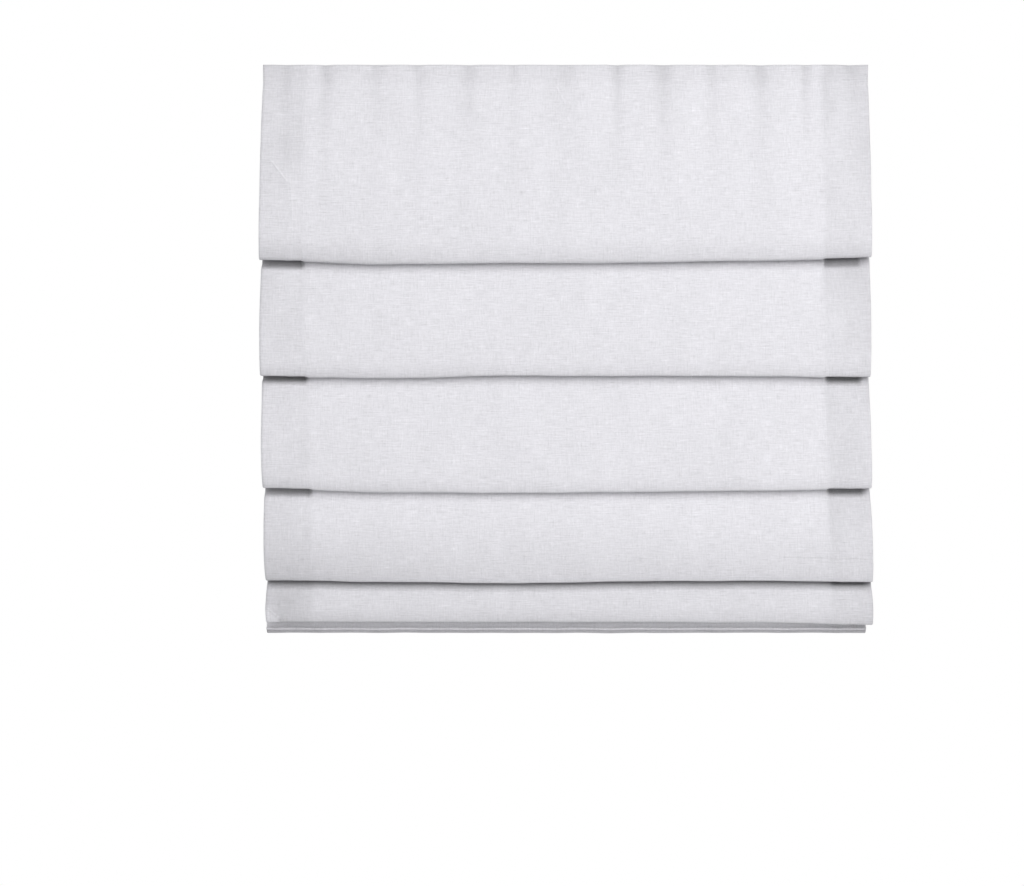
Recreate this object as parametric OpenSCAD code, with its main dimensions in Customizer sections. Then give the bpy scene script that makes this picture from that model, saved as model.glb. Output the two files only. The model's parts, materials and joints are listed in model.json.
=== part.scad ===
// Roman blind with a sprung headrail lift, four rods and a weighted bottom bar.
// Origin: centre of the bracket screws on the wall plane. X runs along the width,
// -Y points into the room and Z points up. Millimetres.

/* [Blind] */
// Width of the finished cloth
blind_w = 1219; // [700:1:1800]
// How far the bottom bar is pulled up from fully lowered
raised = 381; // [0:1:1257]
// Thickness of the face cloth with its lining
cloth_t = 1.2; // [0.8:0.1:2]
// Width of the turned-in side hems
side_hem_w = 86; // [40:1:120]
// Extra thickness where a hem lies double
hem_t = 1; // [0.5:0.1:1.5]

/* [Cloth runs] */
// Cloth from the top edge to the first rod
run_1 = 461; // [300:1:600]
// Cloth from the first rod to the second
run_2 = 344; // [200:1:450]
// Cloth from the second rod to the third
run_3 = 336; // [200:1:450]
// Cloth from the third rod to the fourth
run_4 = 283; // [200:1:400]
// Cloth from the fourth rod to the bottom bar
run_5 = 154; // [120:1:300]
// Height of the bar hem below its lifting line
bar_hem_h = 53; // [40:0.5:70]
// Drop of the first rod when the blind is fully raised
stack_first = 117; // [80:1:160]
// Rod spacing when the blind is fully raised
stack_pitch = 26; // [22:1:40]
// Overlap left in each fold when the blind is fully lowered
min_overlap = 10; // [5:1:20]

/* [Fold shape] */
// How far the first fold stands in front of the hanging plane
fold_out_1 = 46; // [20:1:70]
// How far the second fold stands out
fold_out_2 = 43; // [20:1:70]
// How far the third fold stands out
fold_out_3 = 41; // [20:1:70]
// How far the fourth fold stands out
fold_out_4 = 36; // [15:1:70]
// How far the fifth fold stands out
fold_out_5 = 32; // [15:1:60]
// Bend radius at the bottom of a fold
fold_r = 5; // [3:0.5:7]
// Angle at which the front of a fold curls under
fold_curl = 15; // [0:1:30]
// How far the foot of a fold lies behind its belly
curl_in = 2; // [0:0.5:6]
// Gap from the foot of a fold to the cloth behind it
crease_gap = 5; // [4:0.5:12]
// Bend radius over a rod
peak_r = 3; // [2.5:0.5:6]
// Bend radius at the foot of the bar hem
bar_hem_r = 4; // [3.5:0.5:6]

/* [Headrail] */
// Depth of the headrail from front to back
rail_d = 50; // [46:1:60]
// Height of the headrail
rail_h = 34; // [32:1:40]
// Wall of the aluminium section
rail_wall = 1.6; // [1.2:0.1:2.5]
// Corner radius of the section
rail_r = 2; // [1:0.25:3]
// Reach of the lips along the mouth and the bracket groove
rail_lip = 4; // [3:0.5:6]
// Height of the bracket groove on top of the section
groove_h = 5; // [4:0.5:7]
// How much shorter the headrail is than the cloth
rail_short = 10; // [4:1:20]
// Thickness of an end cap's face
cap_t = 2; // [1.5:0.5:4]
// Depth of an end cap's plug
cap_plug = 10; // [6:1:16]
// Thickness of each half of the touch tape
tape_t = 1; // [0.6:0.1:1.5]
// Width of the touch tape
tape_w = 20; // [16:1:25]

/* [Brackets] */
// Distance from each end of the headrail to the middle of its bracket
bracket_inset = 174.5; // [60:0.5:260]
// Width of a bracket
bracket_w = 40; // [30:1:60]
// Thickness of the bracket steel
bracket_t = 2.5; // [1.5:0.5:4]
// Inside radius of the bracket's bend
bend_r = 2; // [1:0.25:3]
// Radius of the bracket's corners
bracket_r = 6; // [2:0.5:10]
// Gap behind the headrail for the screw heads
screw_room = 3.5; // [3:0.5:6]
// Distance between the screws of one bracket
screw_pitch = 16; // [12:1:20]
// Radius of a screw hole
screw_r = 2.25; // [1.75:0.25:3]
// Distance between the top screws of one bracket
top_screw_pitch = 18; // [14:1:24]

/* [Lift] */
// Distance from each end of the headrail to the outer lift cord
cord_inset = 104.5; // [70:0.5:200]
// Radius of a lift cord
cord_r = 0.7; // [0.5:0.1:1]
// Radius of the spool that winds a cord
spool_r = 9; // [7:0.5:9.5]
// Room on the spool for wound cord
spool_len = 36; // [30:1:48]
// Turns of cord on the spool as it is set
turns = 8; // [2:1:20]
// Width across the flats of the square lift shaft
shaft_w = 5; // [4:0.5:6]
// Distance from the shaft to the spring's storage drum
drum_gap = 18; // [17.5:0.5:20]
// Place of the spring motor along the headrail
motor_x = 150; // [110:10:380]
// Width of the flat spring
spring_w = 26; // [16:1:34]
// Corner radius of the moulded cassettes and the motor
mould_r = 3; // [1:0.5:5]
// Running clearance between turning parts
run_gap = 0.1; // [0.05:0.01:0.1]
// Clearance between seated parts
seat_gap = 0.2; // [0.1:0.05:0.4]

/* [Rods and bar] */
// Radius of a fibreglass rod
rod_r = 2; // [1.5:0.25:3]
// Thickness of the cloth pocket around a rod
pocket_t = 1; // [0.6:0.1:1.5]
// How much shorter a rod is than the cloth
rod_short = 14; // [8:1:30]
// Bore of a lift ring
ring_bore = 3; // [2:0.25:3.5]
// Radius of the ring's section
ring_t = 1.2; // [0.8:0.1:1.5]
// Height of the bottom bar
bar_h = 24; // [20:1:36]
// Thickness of the bottom bar
bar_t = 4; // [3:0.5:4]
// Edge radius of the bottom bar
bar_r = 1.5; // [0.5:0.25:1.5]
// Length of the caps on the bar's ends
bar_cap_len = 4; // [2:0.5:6]
// How much shorter the bottom bar is than the cloth
bar_short = 24; // [16:1:60]

/* [Display] */
// Which piece to show

/* [Hidden] */
$fn = 48;

// Places of the headrail and of the cloth's hanging plane
soft_gap = 0.3;
rail_len = blind_w - rail_short;
bracket_span = rail_len - 2 * bracket_inset;
cord_span = rail_len / 2 - cord_inset;
rail_back = -(bracket_t + screw_room);
rail_front = rail_back - rail_d;
rail_top = 16;
rail_foot = rail_top - rail_h;
web_z = rail_top - groove_h - rail_wall;
mouth_z = rail_foot + rail_wall;
plane_y = rail_front - tape_t - max(tape_t, hem_t) - cloth_t / 2;
top_z = rail_top + 2;
inner_back = rail_back - rail_wall;
inner_front = rail_front + rail_wall;
tape_z = rail_top - 3;

// Places of the lift
shaft_y = rail_back - rail_d / 2 - 6;
shaft_z = (web_z + mouth_z) / 2;
wind_r = spool_r + cord_r + run_gap;
cord_y = shaft_y - wind_r;
journal_r = 6;
box_gap = 0.5;
box_wall = 3;
box_front = inner_front + box_gap;
box_back = inner_back - box_gap;
box_foot = mouth_z + seat_gap;
box_top = web_z - box_gap;
spool_start = 6;
spool_flange = 1.5;
flange_rise = 2 * cord_r;
spool_floor = shaft_z - spool_r - flange_rise - soft_gap;
knot_r = 2.4 * cord_r;
eyelet_r = cord_r + 0.8;
cassette_low = -(spool_start + box_wall + 1);
cassette_high = spool_len + spool_flange + box_wall + 1;

// Rod drops, fold drops and fold reaches, from the cloth runs and the lift
runs = [run_1, run_2, run_3, run_4, run_5];
outs = [fold_out_1, fold_out_2, fold_out_3, fold_out_4, fold_out_5];
stacks = [stack_first, stack_pitch, stack_pitch, stack_pitch, stack_pitch];
travel = [for (i = [0:4]) runs[i] - 2 * min_overlap - stacks[i]];
function sum_to(v, n) = n < 1 ? 0 : v[n - 1] + sum_to(v, n - 1);
full_travel = sum_to(travel, 5);
rod_step = [for (i = [0:4]) runs[i] - 2 * min_overlap - raised * travel[i] / full_travel];
rod_drop = [for (i = [0:4]) sum_to(rod_step, i + 1)];
fold_drop = [for (i = [0:4]) sum_to(rod_step, i) + (runs[i] + rod_step[i]) / 2];
bar_line = rod_drop[4];
foot_drop = bar_line + bar_hem_h;

// Seats of a rod pocket, its ring and the bar in the bar hem
pocket_r = rod_r + soft_gap / 2 + pocket_t;
pocket_off = (peak_r + cloth_t / 2 + hem_t + soft_gap + pocket_r) * sqrt(0.5);
pocket_u = peak_r - pocket_off;
pocket_rise = pocket_off - peak_r;
bar_u = -bar_hem_r;
hem_top = top_z - bar_line - 9;
anchor_foot = hem_top - 9;
bar_drop = foot_drop - cloth_t - 4 - bar_h;

// Where a point u in front of the hanging plane and d below the top edge lies
function at(u, d) = [plane_y - u, top_z - d];

// Cubic through p and s with handles q and r
function bez(p, q, r, s, t) =
    p * pow(1 - t, 3) + 3 * q * pow(1 - t, 2) * t + 3 * r * (1 - t) * t * t + s * pow(t, 3);
function curve(p, q, r, s, n) = [for (i = [0:n - 1]) bez(p, q, r, s, i / n)];
function arc(c, r, a, b, n) =
    let (step = (b - a) / n)
    [for (i = [0:n - 1]) c + r * [cos(a + step * i), sin(a + step * i)]];

// Foot of fold i: the centre of its bend and where the front runs into it
function foot_centre(i) = [outs[i] - curl_in - fold_r, fold_drop[i] - fold_r];
function foot_start(i) = foot_centre(i) + fold_r * [cos(fold_curl), sin(fold_curl)];
function foot_pull(i, h) = foot_start(i) + min(0.3 * h, 35) * [sin(fold_curl), -cos(fold_curl)];

// Front of the top fold, straight off the headrail
function top_front(n) =
    let (start = [0, rail_h + 2])
    let (h = fold_drop[0] - start[1])
    curve(start, start + [0.1 * outs[0], 0.24 * h], foot_pull(0, h), foot_start(0), n);

// Front of a lower fold: out behind the foot of the fold above, then down to its own foot
function tuck(i) = [foot_centre(i - 1)[0] - fold_r - crease_gap, fold_drop[i - 1]];
function tuck_slope(i) = 2 * (outs[i] - tuck(i)[0]) / (fold_drop[i] - fold_drop[i - 1]);
function hidden_front(i, n) =
    let (start = [0, rod_drop[i - 1] + peak_r])
    let (end = tuck(i))
    let (h = end[1] - start[1])
    curve(start, start + [0, 0.25 * h], end - 0.45 * h * [tuck_slope(i), 1], end, n);
function lower_front(i, n) =
    let (start = tuck(i))
    let (h = fold_drop[i] - start[1])
    curve(start, start + 0.3 * h * [tuck_slope(i), 1], foot_pull(i, h), foot_start(i), n);
function front_leg(i) = i == 0 ? top_front(14) : concat(hidden_front(i, 7), lower_front(i, 12));

// Back of fold i: from the fold's foot up to the next rod
function back_leg(i, n) =
    let (start = foot_centre(i) - [fold_r, 0])
    let (end = [2 * peak_r, rod_drop[i] + peak_r])
    let (h = start[1] - end[1])
    let (lean = [0.3 * (start[0] - end[0]), 0.1 * h])
    curve(start, start - [0, 0.45 * h], end + lean, end, n);

// Side line of the whole cloth, from the top edge to the end of the bar hem
function fold_line(i) = concat(
    front_leg(i),
    arc(foot_centre(i), fold_r, fold_curl, 180, 8),
    back_leg(i, 8),
    arc([peak_r, rod_drop[i] + peak_r], peak_r, 0, -180, 8)
);
cloth_line = concat(
    [[0, 0]],
    fold_line(0), fold_line(1), fold_line(2), fold_line(3), fold_line(4),
    [[0, bar_line + peak_r]],
    arc([-bar_hem_r, foot_drop - cloth_t / 2 - bar_hem_r], bar_hem_r, 0, 180, 8),
    [[-2 * bar_hem_r, foot_drop - cloth_t / 2 - bar_hem_r], [-2 * bar_hem_r, bar_line + 9]]
);

// The line moved sideways by a distance, positive toward the face
last = len(cloth_line) - 1;
function heading(i) =
    let (a = cloth_line[max(i - 1, 0)])
    let (b = cloth_line[min(i + 1, last)])
    (b - a) / norm(b - a);
function moved(e) = [for (i = [0:last]) cloth_line[i] + e * [heading(i)[1], -heading(i)[0]]];
function strip(e, f) =
    let (a = moved(e))
    let (b = moved(f))
    let (line = concat(a, [for (i = [last:-1:0]) b[i]]))
    [for (p = line) at(p[0], p[1])];

// Stands a Y-Z outline up along X
module along(x0, x1) {
    translate([x0, 0, 0])
    rotate([90, 0, 90])
    linear_extrude(x1 - x0)
    children();
}

// Box between two corners
module block(a, b) {
    translate(a)
    cube(b - a);
}

// Rectangle between two corners, with round corners
module soft_square(a, b, r) {
    translate([a[0] + r, a[1]])
    square([b[0] - a[0] - 2 * r, b[1] - a[1]]);
    translate([a[0], a[1] + r])
    square([b[0] - a[0], b[1] - a[1] - 2 * r]);
    for (y = [a[0] + r, b[0] - r], z = [a[1] + r, b[1] - r]) {
        translate([y, z])
        circle(r = r);
    }
}

// Box between two corners, with round upright edges
module soft_block(a, b, r) {
    translate([0, 0, a[2]])
    linear_extrude(b[2] - a[2])
    soft_square([a[0], a[1]], [b[0], b[1]], r);
}

// Round bar along X
module bar_x(r, x0, x1, y, z) {
    translate([x0, y, z])
    rotate([0, 90, 0])
    cylinder(r = r, h = x1 - x0);
}

// Square shaft along X, grown by a clearance
module square_x(w, x0, x1) {
    block([x0, shaft_y - w / 2, shaft_z - w / 2], [x1, shaft_y + w / 2, shaft_z + w / 2]);
}

// Aluminium section: open mouth below, bracket groove above, ridges along the tape
module rail_section() {
    ridge = tape_t / 2;
    slot = [inner_front + rail_lip, inner_back - rail_lip];
    difference() {
        soft_square([rail_front, rail_foot], [rail_back, rail_top], rail_r);
        soft_square([inner_front, mouth_z], [inner_back, web_z], rail_r / 2);
        soft_square([inner_front, web_z + rail_wall], [inner_back, rail_top - rail_wall], rail_r / 2);
        for (z = [rail_foot - 1, rail_top - rail_wall - 1]) {
            translate([slot[0], z])
            square([slot[1] - slot[0], rail_wall + 2]);
        }
    }
    for (z = [tape_z + seat_gap, tape_z - tape_w - seat_gap - 1]) {
        translate([rail_front - ridge, z])
        square([ridge + rail_wall / 2, 1]);
    }
}
module headrail() {
    color("#e9e9ea")
    along(-rail_len / 2, rail_len / 2)
    rail_section();
}

// Moulded cap: a face the size of the section and a ribbed plug
module end_cap(s) {
    plug_wall = 2;
    plug = [[inner_front + seat_gap, mouth_z + seat_gap], [inner_back - seat_gap, web_z - seat_gap]];
    plug_size = plug[1] - plug[0];
    inset = [plug_wall, plug_wall];
    color("#f3f3f2")
    mirror([s < 0 ? 1 : 0, 0, 0]) {
        along(rail_len / 2, rail_len / 2 + cap_t)
        soft_square([rail_front, rail_foot], [rail_back, rail_top], rail_r);
        along(rail_len / 2 - cap_plug, rail_len / 2 + cap_t / 2) {
            difference() {
                soft_square(plug[0], plug[1], rail_r / 2);
                translate(plug[0] + inset)
                square(plug_size - 2 * inset);
            }
            for (i = [1, 2]) {
                translate(plug[0] + [i * plug_size[0] / 3 - plug_wall / 2, plug_wall / 2])
                square([plug_wall, plug_size[1] - plug_wall]);
            }
        }
    }
}
module end_cap_left() {
    end_cap(-1);
}
module end_cap_right() {
    end_cap(1);
}

// Pressed steel bracket: a bent plate, two gussets and two hooks that grip the groove lips
module bracket(x) {
    lip_front = inner_front + rail_lip;
    lip_back = inner_back - rail_lip;
    hook_top = rail_top - rail_wall - seat_gap;
    hook_foot = web_z + rail_wall + 0.6;
    toe_r = (hook_top - hook_foot) / 2;
    plate_foot = -screw_pitch / 2 - 8;
    plate_top = rail_top + bracket_t;
    corner = bend_r + bracket_t;
    gusset = screw_room - 0.5;
    color("#d5d6d8")
    translate([x, 0, 0])
    difference() {
        union() {
            intersection() {
                along(-bracket_w / 2, bracket_w / 2)
                difference() {
                    union() {
                        translate([lip_front, plate_foot])
                        square([-lip_front, plate_top - corner - plate_foot]);
                        translate([lip_front, plate_foot])
                        square([-lip_front - corner, plate_top - plate_foot]);
                        translate([-corner, plate_top - corner])
                        circle(r = corner);
                    }
                    translate([lip_front - 1, plate_foot - 1])
                    square([-lip_front + 1 - corner, rail_top - plate_foot + 1]);
                    translate([lip_front - 1, plate_foot - 1])
                    square([-lip_front + 1 - bracket_t, rail_top - bend_r - plate_foot + 1]);
                    translate([-corner, rail_top - bend_r])
                    circle(r = bend_r);
                }
                soft_block(
                    [-bracket_w / 2, lip_front, plate_foot - 1],
                    [bracket_w / 2, bracket_r, plate_top + 1],
                    bracket_r);
                rotate([90, 0, 0])
                translate([0, 0, -1])
                linear_extrude(2 - lip_front)
                soft_square([-bracket_w / 2, plate_foot], [bracket_w / 2, plate_top + bracket_r], bracket_r);
            }
            for (side = [-1, 1]) {
                along(side * bracket_w / 4 - 1, side * bracket_w / 4 + 1)
                polygon([
                    [-bracket_t / 2, rail_top + bracket_t / 2],
                    [-bracket_t - gusset, rail_top + bracket_t / 2],
                    [-bracket_t - gusset, rail_top],
                    [-bracket_t, rail_top - 3 * gusset],
                    [-bracket_t / 2, rail_top - 3 * gusset]
                ]);
            }
            for (e = [[lip_front + seat_gap, 1], [lip_back - seat_gap, 0]]) {
                translate([0, e[0], 0])
                mirror([0, e[1], 0])
                along(-bracket_w / 3, bracket_w / 3) {
                    translate([-2, hook_foot])
                    square([2, rail_top + 1 - hook_foot]);
                    translate([-2, hook_foot])
                    square([rail_lip + 1 - toe_r, hook_top - hook_foot]);
                    translate([rail_lip - 1 - toe_r, hook_foot + toe_r])
                    circle(r = toe_r);
                }
            }
        }
        for (z = [-1, 1]) {
            translate([0, 1, z * screw_pitch / 2])
            rotate([90, 0, 0])
            cylinder(r = screw_r, h = bracket_t + 2);
            translate([0, rail_back - rail_d / 2 + z * top_screw_pitch / 2, rail_top - 1])
            cylinder(r = screw_r, h = bracket_t + 2);
        }
    }
}
module bracket_left() {
    bracket(-bracket_span / 2);
}
module bracket_right() {
    bracket(bracket_span / 2);
}

// Hooked half of the touch tape on the headrail, looped half sewn to the cloth between its hems
module hook_tape() {
    color("#efefee")
    block([-rail_len / 2, rail_front - tape_t, tape_z - tape_w], [rail_len / 2, rail_front, tape_z]);
}
module loop_tape() {
    half = blind_w / 2 - side_hem_w - soft_gap;
    color("#f4f4f3")
    block([-half, rail_front - 2 * tape_t, tape_z - tape_w], [half, rail_front - tape_t, tape_z]);
}

// One length of lined linen with turned-in side hems, folded over the rods
module shade_panel() {
    color("#e5e4e9")
    union() {
        along(-blind_w / 2, blind_w / 2)
        polygon(strip(cloth_t / 2, -cloth_t / 2));
        for (s = [-1, 1]) {
            x0 = s < 0 ? -blind_w / 2 : blind_w / 2 - side_hem_w;
            along(x0, x0 + side_hem_w)
            polygon(strip(0, -cloth_t / 2 - hem_t));
        }
    }
}

// Moulded cradle that carries a spool above the cord's eyelet, with open side walls
module cassette(x) {
    inner = [cassette_low + box_wall, cassette_high - box_wall];
    side_t = 1.5;
    sill = shaft_z - journal_r;
    color("#dcdcda")
    translate([x, 0, 0])
    difference() {
        union() {
            soft_block([cassette_low, box_front, box_foot], [cassette_high, box_back, box_top], mould_r);
            soft_block(
                [cassette_low + 4, inner_front + rail_lip + seat_gap, rail_foot],
                [cassette_high - 4, inner_back - rail_lip - seat_gap, box_foot + 1],
                mould_r);
        }
        block([inner[0], box_front + side_t, spool_floor], [inner[1], box_back - side_t, box_top + 1]);
        rotate([90, 0, 0])
        translate([0, 0, -box_back - 1])
        linear_extrude(box_back - box_front + 2)
        soft_square([inner[0] + mould_r, sill], [inner[1] - mould_r, box_top + mould_r], mould_r);
        bar_x(journal_r + run_gap, cassette_low - 1, cassette_high + 1, shaft_y, shaft_z);
        translate([0, cord_y, rail_foot - 1])
        cylinder(r = eyelet_r, h = rail_h);
        translate([0, cord_y, rail_foot - 1])
        cylinder(r1 = eyelet_r + 2, r2 = eyelet_r, h = 2);
    }
}
module cassette_left() {
    cassette(-cord_span);
}
module cassette_centre() {
    cassette(0);
}
module cassette_right() {
    cassette(cord_span);
}

// Spool: guide cone, winding barrel, end flange and two journals on a square bore
module spool(x) {
    c = shaft_w / 2 + run_gap / 2;
    color("#f0efea")
    translate([x, shaft_y, shaft_z])
    rotate([0, 90, 0])
    difference() {
        union() {
            translate([0, 0, cassette_low + 0.5])
            cylinder(r = journal_r, h = cassette_high - cassette_low - 1);
            translate([0, 0, -spool_start])
            cylinder(r1 = spool_r + flange_rise, r2 = spool_r, h = spool_start - cord_r - 0.5);
            translate([0, 0, -spool_start])
            cylinder(r = spool_r, h = spool_start + spool_len);
            translate([0, 0, spool_len])
            cylinder(r = spool_r + flange_rise, h = spool_flange);
        }
        translate([-c, -c, cassette_low - 1])
        cube([2 * c, 2 * c, cassette_high - cassette_low + 2]);
    }
}
module spool_left() {
    spool(-cord_span);
}
module spool_centre() {
    spool(0);
}
module spool_right() {
    spool(cord_span);
}

// Square steel shaft through the spools and the spring motor
module lift_shaft() {
    color("#b9bbbd")
    square_x(shaft_w, cassette_low - cord_span - 6, cord_span + cassette_high + 6);
}

// Lift cord: turns on the spool, straight run through the rings, knot under the anchor
module lift_cord(x) {
    pitch = 2 * cord_r - 0.1;
    foot_z = anchor_foot - knot_r;
    color("#f5f5f3")
    translate([x, 0, 0])
    union() {
        translate([0, shaft_y, shaft_z])
        rotate([0, 90, 0])
        rotate_extrude()
        for (i = [0:turns - 1]) {
            translate([wind_r, i * pitch])
            circle(r = cord_r - 0.04);
        }
        translate([0, cord_y, foot_z])
        cylinder(r = cord_r, h = shaft_z - foot_z);
        translate([0, cord_y, foot_z])
        sphere(r = knot_r);
    }
}
module lift_cord_left() {
    lift_cord(-cord_span);
}
module lift_cord_centre() {
    lift_cord(0);
}
module lift_cord_right() {
    lift_cord(cord_span);
}

// Spring motor: open case with a fixed pin, snap-on cover, two drums and a flat spring
motor_half = spring_w / 2 + 4 + box_wall;
drum_y = shaft_y + drum_gap;
drum_r = 5;
pin_r = 2.5;
cover_t = 2;
module motor_case() {
    side_t = 2;
    color("#c9cacb")
    translate([motor_x, 0, 0])
    union() {
        difference() {
            union() {
                soft_block(
                    [-motor_half, box_front, box_foot],
                    [motor_half, box_back, box_top - cover_t],
                    mould_r);
                soft_block(
                    [-motor_half + 4, inner_front + rail_lip + seat_gap, rail_foot],
                    [motor_half - 4, inner_back - rail_lip - seat_gap, box_foot + 1],
                    mould_r);
                bar_x(journal_r + side_t, -motor_half - 1, motor_half + 1, shaft_y, shaft_z);
            }
            block(
                [-motor_half + box_wall, box_front + side_t, box_foot + side_t],
                [motor_half - box_wall, box_back - side_t, box_top + 1]);
            bar_x(journal_r + run_gap, -motor_half - 2, motor_half + 2, shaft_y, shaft_z);
        }
        bar_x(pin_r, -motor_half + 1, motor_half - 1, drum_y, shaft_z);
    }
}
module motor_cover() {
    rim = 2;
    color("#b5b7b9")
    translate([motor_x, 0, 0]) {
        soft_block([-motor_half, box_front, box_top - cover_t], [motor_half, box_back, box_top], mould_r);
        difference() {
            block(
                [-motor_half + box_wall + seat_gap, box_front + 2 + seat_gap, box_top - cover_t - rim],
                [motor_half - box_wall - seat_gap, box_back - 2 - seat_gap, box_top - cover_t / 2]);
            block(
                [-motor_half + box_wall + rim, box_front + 2 + rim, box_top - cover_t - rim - 1],
                [motor_half - box_wall - rim, box_back - 2 - rim, box_top - cover_t]);
        }
    }
}
module drum_shape(bore) {
    rotate([0, 90, 0])
    difference() {
        union() {
            translate([0, 0, -spring_w / 2 - 2])
            cylinder(r = drum_r, h = spring_w + 4);
            for (z = [-spring_w / 2 - 2, spring_w / 2 + 0.5]) {
                translate([0, 0, z])
                cylinder(r = drum_r + 3.5, h = 1.5);
            }
            children();
        }
        translate([0, 0, -motor_half - 1])
        if (bore > 0) {
            cylinder(r = bore, h = 2 * motor_half + 2);
        } else {
            translate([-(shaft_w + run_gap) / 2, -(shaft_w + run_gap) / 2, 0])
            cube([shaft_w + run_gap, shaft_w + run_gap, 2 * motor_half + 2]);
        }
    }
}
module output_drum() {
    color("#e6e5e0")
    translate([motor_x, shaft_y, shaft_z])
    drum_shape(0)
    translate([0, 0, -motor_half + 0.5])
    cylinder(r = journal_r, h = 2 * motor_half - 1);
}
module storage_drum() {
    color("#e6e5e0")
    translate([motor_x, drum_y, shaft_z])
    drum_shape(pin_r + run_gap);
}
module power_spring() {
    band = 0.3;
    sunk = 0.15;
    out_r = journal_r + 1.2;
    store_r = drum_r + 3;
    lean = asin((out_r + store_r - band - 2 * sunk) / drum_gap);
    color("#9ea1a4")
    along(motor_x - spring_w / 2, motor_x + spring_w / 2)
    difference() {
        union() {
            translate([shaft_y, shaft_z])
            circle(r = out_r);
            translate([drum_y, shaft_z])
            circle(r = store_r);
            translate([shaft_y, shaft_z])
            rotate(-lean)
            translate([0, out_r - band - sunk])
            square([drum_gap * cos(lean), band]);
        }
        translate([shaft_y, shaft_z])
        circle(r = journal_r + run_gap);
        translate([drum_y, shaft_z])
        circle(r = drum_r + run_gap);
    }
}

// Fibreglass rod, its sewn pocket, its end tips and the cord rings clipped to it
rod_half = (blind_w - rod_short) / 2;
module rod(k) {
    color("#dfdfd6")
    bar_x(rod_r, -rod_half, rod_half, plane_y - pocket_u, top_z - rod_drop[k - 1] + pocket_rise);
}
module rod_pocket(k) {
    color("#e1e0e5")
    translate([0, plane_y - pocket_u, top_z - rod_drop[k - 1] + pocket_rise])
    difference() {
        bar_x(pocket_r, -rod_half + 1, rod_half - 1, 0, 0);
        bar_x(rod_r + soft_gap / 2, -rod_half, rod_half, 0, 0);
    }
}
module rod_tips(k) {
    tip_r = pocket_r * 0.4;
    tip_len = 4 - seat_gap;
    color("#f1f1ef")
    translate([0, plane_y - pocket_u, top_z - rod_drop[k - 1] + pocket_rise])
    for (s = [-1, 1]) {
        mirror([s < 0 ? 1 : 0, 0, 0])
        translate([rod_half - 1 + seat_gap, 0, 0])
        rotate([0, 90, 0])
        difference() {
            rotate_extrude() {
                square([pocket_r, tip_len - tip_r]);
                square([pocket_r - tip_r, tip_len]);
                translate([pocket_r - tip_r, tip_len - tip_r])
                circle(r = tip_r);
            }
            translate([0, 0, -1])
            cylinder(r = rod_r, h = 2 - seat_gap);
        }
    }
}
module lift_rings(k) {
    clip_r = pocket_r + 1.3;
    ring_r = ring_bore + ring_t;
    ring_y = cord_y - plane_y + pocket_u;
    color("#fafafa")
    for (x = [-cord_span, 0, cord_span]) {
        translate([x, plane_y - pocket_u, top_z - rod_drop[k - 1] + pocket_rise]) {
            translate([0, ring_y, 0])
            rotate_extrude()
            translate([ring_r, 0])
            circle(r = ring_t);
            difference() {
                union() {
                    bar_x(clip_r, -3, 3, 0, 0);
                    block([-2, 0, -ring_t / 2], [2, ring_y - ring_bore - ring_t / 2, ring_t / 2]);
                }
                bar_x(pocket_r + run_gap, -4, 4, 0, 0);
                block([-4, -clip_r - 1, -clip_r - 1], [4, 0, clip_r + 1]);
            }
        }
    }
}
module rod_1() {
    rod(1);
}
module rod_pocket_1() {
    rod_pocket(1);
}
module rod_tips_1() {
    rod_tips(1);
}
module lift_rings_1() {
    lift_rings(1);
}
module rod_2() {
    rod(2);
}
module rod_pocket_2() {
    rod_pocket(2);
}
module rod_tips_2() {
    rod_tips(2);
}
module lift_rings_2() {
    lift_rings(2);
}
module rod_3() {
    rod(3);
}
module rod_pocket_3() {
    rod_pocket(3);
}
module rod_tips_3() {
    rod_tips(3);
}
module lift_rings_3() {
    lift_rings(3);
}
module rod_4() {
    rod(4);
}
module rod_pocket_4() {
    rod_pocket(4);
}
module rod_tips_4() {
    rod_tips(4);
}
module lift_rings_4() {
    lift_rings(4);
}

// Flat aluminium bar in the bottom hem, its end caps and the clips that take the cords
bar_half = (blind_w - bar_short) / 2;
bar_top = top_z - bar_drop;
bar_y = plane_y - bar_u;
module bar_section() {
    soft_square([bar_y - bar_t / 2, bar_top - bar_h], [bar_y + bar_t / 2, bar_top], bar_r);
}
module bottom_bar() {
    color("#d3d5d6")
    along(-bar_half, bar_half)
    bar_section();
}
module bar_cap(s) {
    nose_r = bar_cap_len * 0.75;
    color("#f1f1ef")
    mirror([s < 0 ? 1 : 0, 0, 0])
    intersection() {
        along(bar_half, bar_half + bar_cap_len)
        bar_section();
        translate([0, bar_y + bar_t, 0])
        rotate([90, 0, 0])
        linear_extrude(2 * bar_t)
        soft_square([bar_half - 2 * nose_r, bar_top - bar_h], [bar_half + bar_cap_len, bar_top], nose_r);
    }
}
module bar_cap_left() {
    bar_cap(-1);
}
module bar_cap_right() {
    bar_cap(1);
}
module cord_anchors() {
    clip_top = hem_top + 4;
    strap = [bar_y - bar_t / 2, bar_y + bar_t / 2];
    color("#fafafa")
    for (x = [-cord_span, 0, cord_span]) {
        translate([x, 0, 0])
        difference() {
            union() {
                along(-4, 4) {
                    translate([strap[0], bar_top])
                    square([bar_t, clip_top - bar_r - bar_top]);
                    soft_square([strap[0], hem_top + soft_gap], [cord_y + bar_r, clip_top], bar_r);
                }
                translate([0, cord_y, anchor_foot])
                cylinder(r = 2.8, h = clip_top - anchor_foot);
            }
            translate([0, cord_y, anchor_foot - 1])
            cylinder(r = cord_r + 0.3, h = clip_top - anchor_foot + 2);
        }
    }
}

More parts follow.
